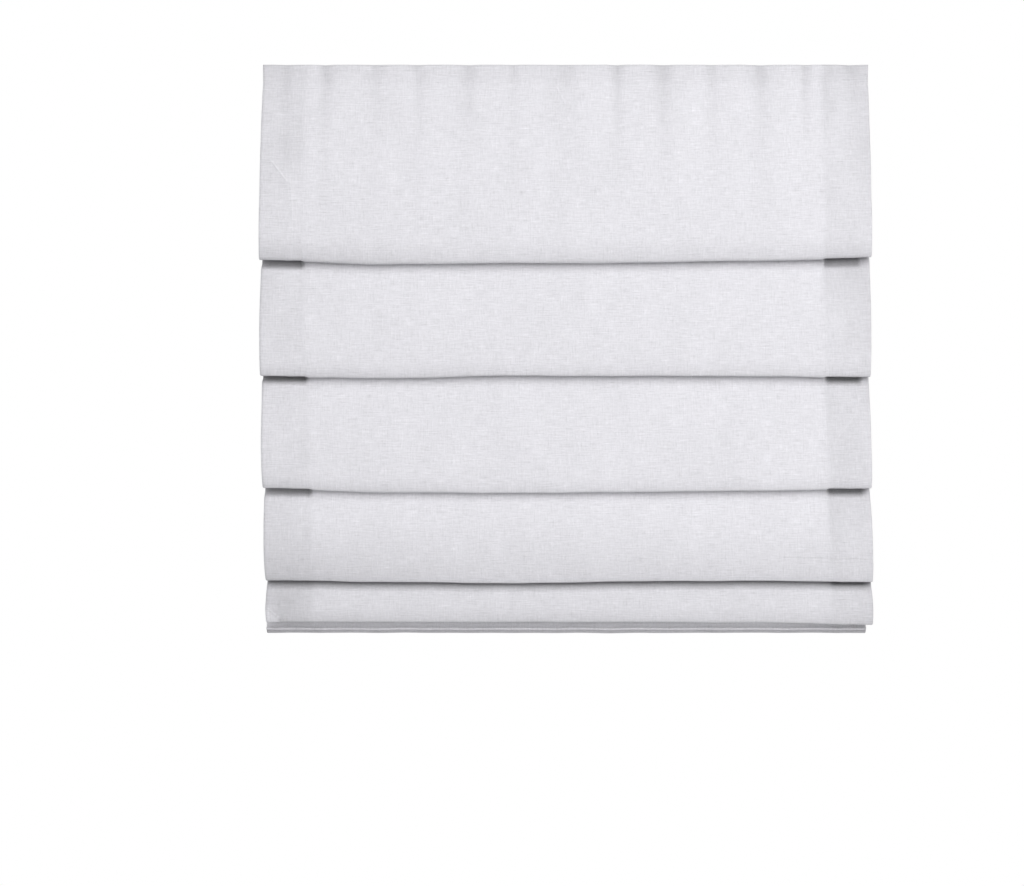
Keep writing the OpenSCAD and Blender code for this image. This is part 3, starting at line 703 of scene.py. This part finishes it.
linen = link("linen_sheet", lay_sheet())
thickness = linen.modifiers.new("thickness", "SOLIDIFY")
thickness.thickness = LAYER
thickness.offset = 0
print("sheet of", len(linen.data.polygons), "faces")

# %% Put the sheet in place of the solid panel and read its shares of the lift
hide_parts("shade_panel")
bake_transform(linen)
shares = np.zeros(len(linen.data.vertices), np.float32)
linen.data.attributes["lift_share"].data.foreach_get("value", shares)

# %% [markdown]
# ## Rod pockets
# A rod sits in a narrow tube of lining, sewn to the back of the cloth along one edge. Its section is
# a ring drawn out to a tail where the two layers meet, swept along the rod and left a little uneven.

# %% Pockets on the rods
POCKET_R = 2.75 * MM
POCKET_TAIL = 1.5 * MM
POCKET_SIDES = 20
POCKET_STEPS = 120
POCKET_LAYER = 0.6 * MM
POCKET_SLACK = 0.2 * MM
TAIL_WAY = math.radians(225)

pockets = []
for k in ROD_NUMBERS:
    low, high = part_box("rod_pocket_%d" % k)
    centre = Vector((low.x, (low.y + high.y) / 2, (low.z + high.z) / 2))
    tube = bmesh.new()
    pocket_map = tube.loops.layers.uv.new("weave")
    on_edge = Matrix.Translation(centre) @ Matrix.Rotation(math.pi / 2, 4, "Y")
    ring = bmesh.ops.create_circle(tube, radius=POCKET_R, segments=POCKET_SIDES, matrix=on_edge)["verts"]
    step = Vector(((high.x - low.x) / POCKET_STEPS, 0, 0))
    bmesh.ops.spin(
        tube, geom=ring + tube.edges[:], cent=centre, axis=ACROSS, dvec=step, angle=0, steps=POCKET_STEPS)
    for vert in tube.verts:
        arm = Vector((vert.co.y - centre.y, vert.co.z - centre.z))
        angle = math.atan2(arm.y, arm.x)
        tail = max(0.0, math.cos(angle - TAIL_WAY)) ** 6
        way = arm.normalized()
        slack = POCKET_SLACK * (1 + drift(vert.co.x * 40, 2 * way.x, k + way.y))
        grown = way * (POCKET_R + POCKET_TAIL * tail + slack * (1 - tail))
        vert.co.y, vert.co.z = centre.y + grown.x, centre.z + grown.y
    for face in tube.faces:
        for loop in face.loops:
            around = math.atan2(loop.vert.co.z - centre.z, loop.vert.co.y - centre.y) * POCKET_R
            loop[pocket_map].uv = (loop.vert.co.x / 2, around / 2)
    bmesh.ops.recalc_face_normals(tube, faces=tube.faces)
    pocket = link("pocket_%d" % k, tube)
    lining = pocket.modifiers.new("layer", "SOLIDIFY")
    lining.thickness = POCKET_LAYER
    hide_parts("rod_pocket_%d" % k)
    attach(pocket, "rod_%d" % k)
    pockets.append(pocket)
print(len(pockets), "pockets of", len(pockets[0].data.polygons), "faces")

# %% [markdown]
# ## Linen
# Slubby plain weave: thick and thin threads cross, so the cloth shows short level streaks and short
# upright ones, and a fine grid of threads in the bump. The streaks are stretched noise on the sheet's
# own map, which follows the cloth round its folds. An occlusion mask paints shade into the colour of the
# gaps under the folds: it measures how shut in the cloth is within a short reach, so it is right at every
# height of the blind. The pressed creases get a painted highlight, and the shade stored on the sheet is
# painted in as well.


# %% Node helpers
def new_group(name, inputs, outputs):
    """A node group with its sockets, and its input and output nodes."""
    group = bpy.data.node_groups.new(name, "ShaderNodeTree")
    for socket, kind, value in inputs:
        made = group.interface.new_socket(socket, in_out="INPUT", socket_type=kind)
        if value is not None:
            made.default_value = value
    for socket, kind in outputs:
        group.interface.new_socket(socket, in_out="OUTPUT", socket_type=kind)
    return group, group.nodes.new("NodeGroupInput"), group.nodes.new("NodeGroupOutput")


def add(tree, kind, links=(), **settings):
    """A node with its properties set and its inputs linked or given values."""
    node = tree.nodes.new(kind)
    for key, value in settings.items():
        setattr(node, key, value)
    for socket, source in dict(links).items():
        if hasattr(source, "is_output"):
            tree.links.new(source, node.inputs[socket])
        else:
            node.inputs[socket].default_value = source
    return node


def maths(tree, operation, *values):
    """The result of one math node on linked or given values."""
    return add(tree, "ShaderNodeMath", dict(enumerate(values)), operation=operation).outputs[0]


def streak(tree, place, scale, detail):
    """Noise stretched by a linked or given scale along each axis."""
    stretched = add(tree, "ShaderNodeVectorMath", {0: place, 1: scale}, operation="MULTIPLY")
    texture = add(tree, "ShaderNodeTexNoise",
                  {"Vector": stretched.outputs[0], "Scale": 1.0, "Detail": detail, "Roughness": 0.6})
    return texture.outputs["Fac"]


def srgb(red, green, blue):
    """A linear colour from screen values of 0 to 255."""
    def linear(v):
        v /= 255
        return v / 12.92 if v <= 0.04045 else ((v + 0.055) / 1.055) ** 2.4
    return (linear(red), linear(green), linear(blue), 1.0)


def tint(tree, colour, bright):
    """A colour made lighter or darker by a linked value."""
    scaled = add(tree, "ShaderNodeVectorMath", {0: colour[:3], "Scale": bright}, operation="SCALE")
    return scaled.outputs[0]


def new_material(name):
    """A material with its tree and its surface shader."""
    material = bpy.data.materials.new(name)
    material.use_nodes = True
    tree = material.node_tree
    return material, tree, tree.nodes["Principled BSDF"]


print("white as a linear colour", [round(v, 3) for v in srgb(240, 240, 240)])

# %% Linen weave group
SLUB_SHARP = 30.0


def slub(tree, place, scale):
    """Streaks about zero whose strongest spots stand out as slubs."""
    centred = maths(tree, "SUBTRACT", streak(tree, place, scale, 4.0), 0.5)
    sharp = maths(tree, "MULTIPLY_ADD", maths(tree, "MULTIPLY", centred, centred), SLUB_SHARP, 1.0)
    return maths(tree, "MULTIPLY", centred, sharp)


weave_group, weave_in, weave_out = new_group(
    "linen_weave",
    [("Map", "NodeSocketVector", None), ("Threads", "NodeSocketFloat", 17000.0)],
    [("Tone", "NodeSocketFloat"), ("Height", "NodeSocketFloat")])
weave_place = weave_in.outputs["Map"]
level = slub(weave_group, weave_place, (70.0, 800.0, 1.0))
upright = slub(weave_group, weave_place, (760.0, 80.0, 1.0))
specks = slub(weave_group, weave_place, (420.0, 420.0, 1.0))
cloud = maths(weave_group, "SUBTRACT", streak(weave_group, weave_place, (30.0, 14.0, 1.0), 2.0), 0.5)
mixed = maths(weave_group, "MULTIPLY_ADD", upright, 0.7, level)
mixed = maths(weave_group, "MULTIPLY_ADD", specks, 0.5, mixed)
mixed = maths(weave_group, "MULTIPLY_ADD", cloud, 0.35, mixed)
split = add(weave_group, "ShaderNodeSeparateXYZ", {0: weave_place})
threads = []
for axis in ("X", "Y"):
    turns = maths(weave_group, "MULTIPLY", split.outputs[axis], weave_in.outputs["Threads"])
    threads.append(maths(weave_group, "SINE", turns))
grid = maths(weave_group, "MULTIPLY", threads[0], threads[1])
weave_group.links.new(mixed, weave_out.inputs["Tone"])
weave_group.links.new(maths(weave_group, "MULTIPLY_ADD", grid, 0.25, mixed), weave_out.inputs["Height"])
print("weave group", len(weave_group.nodes), "nodes")

# %% Pressed crease group
crease_group, crease_in, crease_out = new_group(
    "pressed_crease",
    [("Map", "NodeSocketVector", None), ("Start", "NodeSocketVector", None),
     ("End", "NodeSocketVector", None), ("Wide", "NodeSocketFloat", 0.001)],
    [("Mask", "NodeSocketFloat")])


def vector_maths(tree, operation, *values):
    """One vector math node on linked or given values."""
    return add(tree, "ShaderNodeVectorMath", dict(enumerate(values)), operation=operation)


crease_start = crease_in.outputs["Start"]
pressed_way = vector_maths(crease_group, "SUBTRACT", crease_in.outputs["End"], crease_start).outputs[0]
from_start = vector_maths(crease_group, "SUBTRACT", crease_in.outputs["Map"], crease_start).outputs[0]
covered = vector_maths(crease_group, "DOT_PRODUCT", from_start, pressed_way).outputs["Value"]
whole = vector_maths(crease_group, "DOT_PRODUCT", pressed_way, pressed_way).outputs["Value"]
share = add(crease_group, "ShaderNodeMath", {0: covered, 1: whole}, operation="DIVIDE", use_clamp=True)
nearest = add(crease_group, "ShaderNodeVectorMath",
              {0: pressed_way, "Scale": share.outputs[0]}, operation="SCALE")
off = vector_maths(crease_group, "DISTANCE", from_start, nearest.outputs[0]).outputs["Value"]
crease_mask = add(crease_group, "ShaderNodeMapRange",
                  {"Value": off, "From Min": 0.0, "From Max": crease_in.outputs["Wide"],
                   "To Min": 1.0, "To Max": 0.0},
                  interpolation_type="SMOOTHSTEP")
crease_group.links.new(crease_mask.outputs[0], crease_out.inputs["Mask"])
print("crease group", len(crease_group.nodes), "nodes")


# %% Place of a crease on the sheet's own map
def sheet_spot(x, drop, i):
    """Map place of a spot on the face of fold i."""
    rows = [index for index, (_, kind, fold) in enumerate(line) if fold == i and kind in ("top", "front")]
    down = np.interp(drop, [line[index][0].y for index in rows], [steps[index] for index in rows])
    along = across[len(turned) + 1] + x + half_width
    return (along / 2, 1 - down / 2, 0.0)


print("first crease starts at", [round(v, 4) for v in sheet_spot(*CREASES[0][:2], 0)])

# %% Linen finish
LINEN = srgb(231, 230, 235)
SLUB = 0.28
CREASE_LINE = 1.5 * MM
CREASE_LIGHT = 0.035
CREASE_RELIEF = 1.5
NOOK_REACH = 20 * MM
NOOK_DEEP = 2.5
# How much the painted shade of the doubled hems and the stored painted shade dim the colour.
DOUBLE_HEM_SHADE_DIM = -0.1
SHADE_DIM = -0.6
WEAVE_RELIEF = 0.35
WEAVE_DEPTH = 0.6 * MM

linen_finish, tree, shader = new_material("linen")
weave_map = add(tree, "ShaderNodeUVMap", uv_map="weave")
weave = add(tree, "ShaderNodeGroup", node_tree=weave_group)
tree.links.new(weave_map.outputs["UV"], weave.inputs["Map"])
# Painted gap shade: how shut in the cloth is within a short reach, raised to a power and scaled by the
# stored share, darkens its colour.
nook_shade = add(tree, "ShaderNodeAmbientOcclusion", {"Distance": NOOK_REACH}, samples=8)
nook_part = add(tree, "ShaderNodeAttribute", attribute_name="nook_shade").outputs["Fac"]
shut = maths(tree, "SUBTRACT", maths(tree, "POWER", nook_shade.outputs["AO"], NOOK_DEEP), 1.0)
deep = maths(tree, "MULTIPLY_ADD", shut, nook_part, 1.0)
double = add(tree, "ShaderNodeAttribute", attribute_name="double").outputs["Fac"]
shaded = add(tree, "ShaderNodeAttribute", attribute_name="shade").outputs["Fac"]
pressed = 0.0
for x0, d0, x1, d1, rise, fold in CREASES:
    crease_line = add(tree, "ShaderNodeGroup", node_tree=crease_group)
    tree.links.new(weave_map.outputs["UV"], crease_line.inputs["Map"])
    crease_line.inputs["Start"].default_value = sheet_spot(x0, d0, fold)
    crease_line.inputs["End"].default_value = sheet_spot(x1, d1, fold)
    crease_line.inputs["Wide"].default_value = CREASE_LINE
    pressed = maths(tree, "MULTIPLY_ADD", crease_line.outputs["Mask"], rise, pressed)
# Painted highlight along the raised creases, and painted shade along the sunk one.
lit = maths(tree, "MULTIPLY_ADD", pressed, CREASE_LIGHT, 1.0)
bright = maths(tree, "MULTIPLY_ADD", weave.outputs["Tone"], SLUB, lit)
relief = maths(tree, "MULTIPLY_ADD", pressed, CREASE_RELIEF, weave.outputs["Height"])
# The painted shade of the doubled hems, the stored painted shade and the painted gap shade all dim the
# colour.
dims = maths(tree, "MULTIPLY", maths(tree, "MULTIPLY_ADD", double, DOUBLE_HEM_SHADE_DIM, 1.0),
             maths(tree, "MULTIPLY_ADD", shaded, SHADE_DIM, 1.0))
dims = maths(tree, "MULTIPLY", dims, deep)
tree.links.new(tint(tree, LINEN, maths(tree, "MULTIPLY", dims, bright)), shader.inputs["Base Color"])
bump = add(tree, "ShaderNodeBump", {"Height": relief, "Strength": WEAVE_RELIEF, "Distance": WEAVE_DEPTH})
tree.links.new(bump.outputs["Normal"], shader.inputs["Normal"])
shader.inputs["Roughness"].default_value = 0.9
shader.inputs["Sheen Weight"].default_value = 0.15
shader.inputs["Sheen Roughness"].default_value = 0.5
shader.inputs["Specular IOR Level"].default_value = 0.2
for piece in [linen] + pockets:
    piece.data.materials.append(linen_finish)
print("linen finish", len(tree.nodes), "nodes")

# %% [markdown]
# ## Hardware finishes
# The rest is bought hardware: powder-coated and drawn aluminium, zinc-plated steel, rolled spring strip,
# moulded plastic, drawn fibreglass. They differ mainly in the direction of their grain, so one group
# makes a stretched grain and each finish says how long, how fine and how deep it is.

# %% Grain group
grain_group, grain_in, grain_out = new_group(
    "grain",
    [("Map", "NodeSocketVector", None), ("Stretch", "NodeSocketVector", (500.0, 500.0, 500.0))],
    [("Tone", "NodeSocketFloat"), ("Height", "NodeSocketFloat")])
fine = streak(grain_group, grain_in.outputs["Map"], grain_in.outputs["Stretch"], 4.0)
broad = streak(grain_group, grain_in.outputs["Map"], (14.0, 14.0, 14.0), 2.0)
both = maths(grain_group, "ADD", fine, broad)
grain_group.links.new(maths(grain_group, "SUBTRACT", both, 1.0), grain_out.inputs["Tone"])
grain_group.links.new(fine, grain_out.inputs["Height"])
print("grain group", len(grain_group.nodes), "nodes")


# %% Finishes made from the grain
GRAIN_ROUGHEN = 0.15
GRAIN_DEPTH = 0.3 * MM


def grained(name, colour, roughness, metallic, stretch, tone, relief):
    """A finish whose colour, roughness and relief follow one stretched grain."""
    material, tree, shader = new_material(name)
    place = add(tree, "ShaderNodeTexCoord")
    grain = add(tree, "ShaderNodeGroup", node_tree=grain_group)
    tree.links.new(place.outputs["Object"], grain.inputs["Map"])
    grain.inputs["Stretch"].default_value = stretch
    bright = maths(tree, "MULTIPLY_ADD", grain.outputs["Tone"], tone, 1.0)
    rough = maths(tree, "MULTIPLY_ADD", grain.outputs["Tone"], GRAIN_ROUGHEN, roughness)
    bump = add(tree, "ShaderNodeBump",
               {"Height": grain.outputs["Height"], "Strength": relief, "Distance": GRAIN_DEPTH})
    tree.links.new(tint(tree, colour, bright), shader.inputs["Base Color"])
    tree.links.new(rough, shader.inputs["Roughness"])
    tree.links.new(bump.outputs["Normal"], shader.inputs["Normal"])
    shader.inputs["Metallic"].default_value = metallic
    return material


finishes = {
    "linen": linen_finish,
    "white_rail": grained("white_rail", srgb(234, 234, 236), 0.4, 0.0, (1100, 1100, 1100), 0.04, 0.25),
    "steel": grained("steel", srgb(192, 195, 199), 0.34, 1.0, (260, 260, 260), 0.18, 0.1),
    "white_plastic": grained("white_plastic", srgb(238, 238, 235), 0.5, 0.0, (2400, 2400, 2400), 0.04, 0.3),
    "clear_plastic": grained("clear_plastic", srgb(240, 241, 242), 0.18, 0.0, (300, 300, 300), 0.03, 0.05),
    "spring_steel": grained("spring_steel", srgb(160, 163, 167), 0.28, 1.0, (2600, 40, 40), 0.2, 0.15),
    "fibreglass": grained("fibreglass", srgb(224, 223, 206), 0.45, 0.0, (18, 2600, 2600), 0.14, 0.3),
    "aluminium": grained("aluminium", srgb(200, 202, 204), 0.36, 1.0, (14, 2000, 2000), 0.16, 0.25),
}
print(len(finishes), "finishes")

# %% [markdown]
# ## Tape and cord
# The touch tape is a dense pile of loops, which small uneven cells make well. The cord is a round braid:
# two families of slanting threads that cross, made by two waves along opposite slants.

# %% Tape pile
TAPE_WHITE = srgb(238, 238, 236)
LOOPS_PER_METRE = 900.0
LOOP_DEPTH = 0.5 * MM

tape_finish, tree, shader = new_material("tape")
place = add(tree, "ShaderNodeTexCoord")
pile = add(tree, "ShaderNodeTexVoronoi", {"Vector": place.outputs["Object"], "Scale": LOOPS_PER_METRE})
patchy = streak(tree, place.outputs["Object"], (60.0, 60.0, 60.0), 3.0)
# Painted shade in the hollows between the pile's loops; the patchy tone is the tape's own.
hollow_shade = maths(tree, "MULTIPLY_ADD", pile.outputs["Distance"], -0.25, 1.0)
bright = maths(tree, "MULTIPLY_ADD", patchy, 0.12, hollow_shade)
bump = add(tree, "ShaderNodeBump",
           {"Height": pile.outputs["Distance"], "Strength": 0.8, "Distance": LOOP_DEPTH}, invert=True)
tree.links.new(tint(tree, TAPE_WHITE, bright), shader.inputs["Base Color"])
tree.links.new(bump.outputs["Normal"], shader.inputs["Normal"])
shader.inputs["Roughness"].default_value = 0.95
finishes["tape"] = tape_finish
print("tape finish", len(tree.nodes), "nodes")

# %% Cord braid
BRAID_PITCH = 1.6 * MM
BRAID_DEPTH = 0.2 * MM
CORD_WHITE = srgb(240, 240, 238)

cord_finish, tree, shader = new_material("cord")
place = add(tree, "ShaderNodeTexCoord")
split = add(tree, "ShaderNodeSeparateXYZ", {0: place.outputs["Object"]})
lengthwise = maths(tree, "ADD", split.outputs["Y"], split.outputs["Z"])
slants = []
for sign in (1.0, -1.0):
    slanted = maths(tree, "MULTIPLY_ADD", split.outputs["X"], sign, lengthwise)
    slants.append(maths(tree, "SINE", maths(tree, "MULTIPLY", slanted, 2 * math.pi / BRAID_PITCH)))
braid = maths(tree, "MAXIMUM", slants[0], slants[1])
fuzz = streak(tree, place.outputs["Object"], (900.0, 900.0, 900.0), 3.0)
# Painted shade: the braid's grooves are darker than its crests; the fuzz is the cord's own uneven tone.
bright = maths(tree, "MULTIPLY_ADD", braid, 0.06, maths(tree, "MULTIPLY_ADD", fuzz, 0.14, 0.9))
bump = add(tree, "ShaderNodeBump", {"Height": braid, "Strength": 0.6, "Distance": BRAID_DEPTH})
tree.links.new(tint(tree, CORD_WHITE, bright), shader.inputs["Base Color"])
tree.links.new(bump.outputs["Normal"], shader.inputs["Normal"])
shader.inputs["Roughness"].default_value = 0.8
finishes["cord"] = cord_finish
for piece in cords:
    piece.data.materials.append(cord_finish)
print("cord finish", len(tree.nodes), "nodes")

# %% Give every solid its finish
for part in frame["record"]["subparts"]:
    mesh = nodes[part["node"]].data
    mesh.materials.clear()
    mesh.materials.append(finishes[part["material_slot"]])

# %% [markdown]
# ## Studio
# A plain pale floor well below the blind, a broad lamp in front and to the right, a broader one high
# overhead, a third behind for the hardware and an even white world. The floor fades to white at its
# rim, so it has no edge.

# %% Floor
FLOOR_Z = -2.3
FLOOR_R = 9.0
FADE_START = 0.3
FADE_END = 1.2

disc = bmesh.new()
floor_place = Matrix.Translation((0, 0, FLOOR_Z))
bmesh.ops.create_circle(disc, cap_ends=True, radius=FLOOR_R, segments=96, matrix=floor_place)
floor = link("floor", disc)
floor_finish, tree, shader = new_material("pale_floor")
shader.inputs["Base Color"].default_value = srgb(244, 244, 244)
shader.inputs["Roughness"].default_value = 0.95
place = add(tree, "ShaderNodeTexCoord")
flat_place = vector_maths(tree, "MULTIPLY", place.outputs["Object"], (1, 1, 0))
away = vector_maths(tree, "LENGTH", flat_place.outputs[0]).outputs["Value"]
fade = add(tree, "ShaderNodeMapRange", {"Value": away, "From Min": FADE_START, "From Max": FADE_END})
seen = add(tree, "ShaderNodeLightPath")
rim = maths(tree, "MULTIPLY", fade.outputs[0], seen.outputs["Is Camera Ray"])
glow = add(tree, "ShaderNodeEmission", {"Color": (1, 1, 1, 1), "Strength": 1.0})
floor_mix = add(tree, "ShaderNodeMixShader", {0: rim, 1: shader.outputs[0], 2: glow.outputs[0]})
tree.links.new(floor_mix.outputs[0], tree.nodes["Material Output"].inputs["Surface"])
floor.data.materials.append(floor_finish)
print("floor at", FLOOR_Z)


# %% Lamps and world
LAMP_AIM = Vector((0, 0, -0.5))
WORLD_LIGHT = 0.24


def lamp(name, place, size, power):
    """A rectangular lamp aimed at the middle of the blind, in watts."""
    data = bpy.data.lights.new(name, "AREA")
    data.shape = "RECTANGLE"
    data.size, data.size_y = size
    data.energy = power
    made = bpy.data.objects.new(name, data)
    made.location = place
    made.rotation_euler = (LAMP_AIM - Vector(place)).to_track_quat("-Z", "Y").to_euler()
    made.visible_camera = False
    bpy.context.collection.objects.link(made)


lamp("key", (2.2, -5.0, 0.8), (3.0, 3.0), 106)
lamp("overhead", (0.6, -8.0, 8.5), (8.0, 8.0), 695)
lamp("behind", (-1.6, 5.5, 2.0), (4.0, 4.0), 150)

world = bpy.data.worlds.new("studio")
world.use_nodes = True
bpy.context.scene.world = world
tree = world.node_tree
tree.nodes.clear()
rays = add(tree, "ShaderNodeLightPath")
shows = maths(tree, "MAXIMUM", rays.outputs["Is Camera Ray"], rays.outputs["Is Glossy Ray"])
shows = maths(tree, "MAXIMUM", shows, rays.outputs["Is Transmission Ray"])
ambient = add(tree, "ShaderNodeBackground", {"Color": (1, 1, 1, 1), "Strength": WORLD_LIGHT})
backdrop = add(tree, "ShaderNodeBackground", {"Color": (1, 1, 1, 1), "Strength": 1.0})
world_mix = add(tree, "ShaderNodeMixShader", {0: shows, 1: ambient.outputs[0], 2: backdrop.outputs[0]})
add(tree, "ShaderNodeOutputWorld", {"Surface": world_mix.outputs[0]})
print("studio ready")
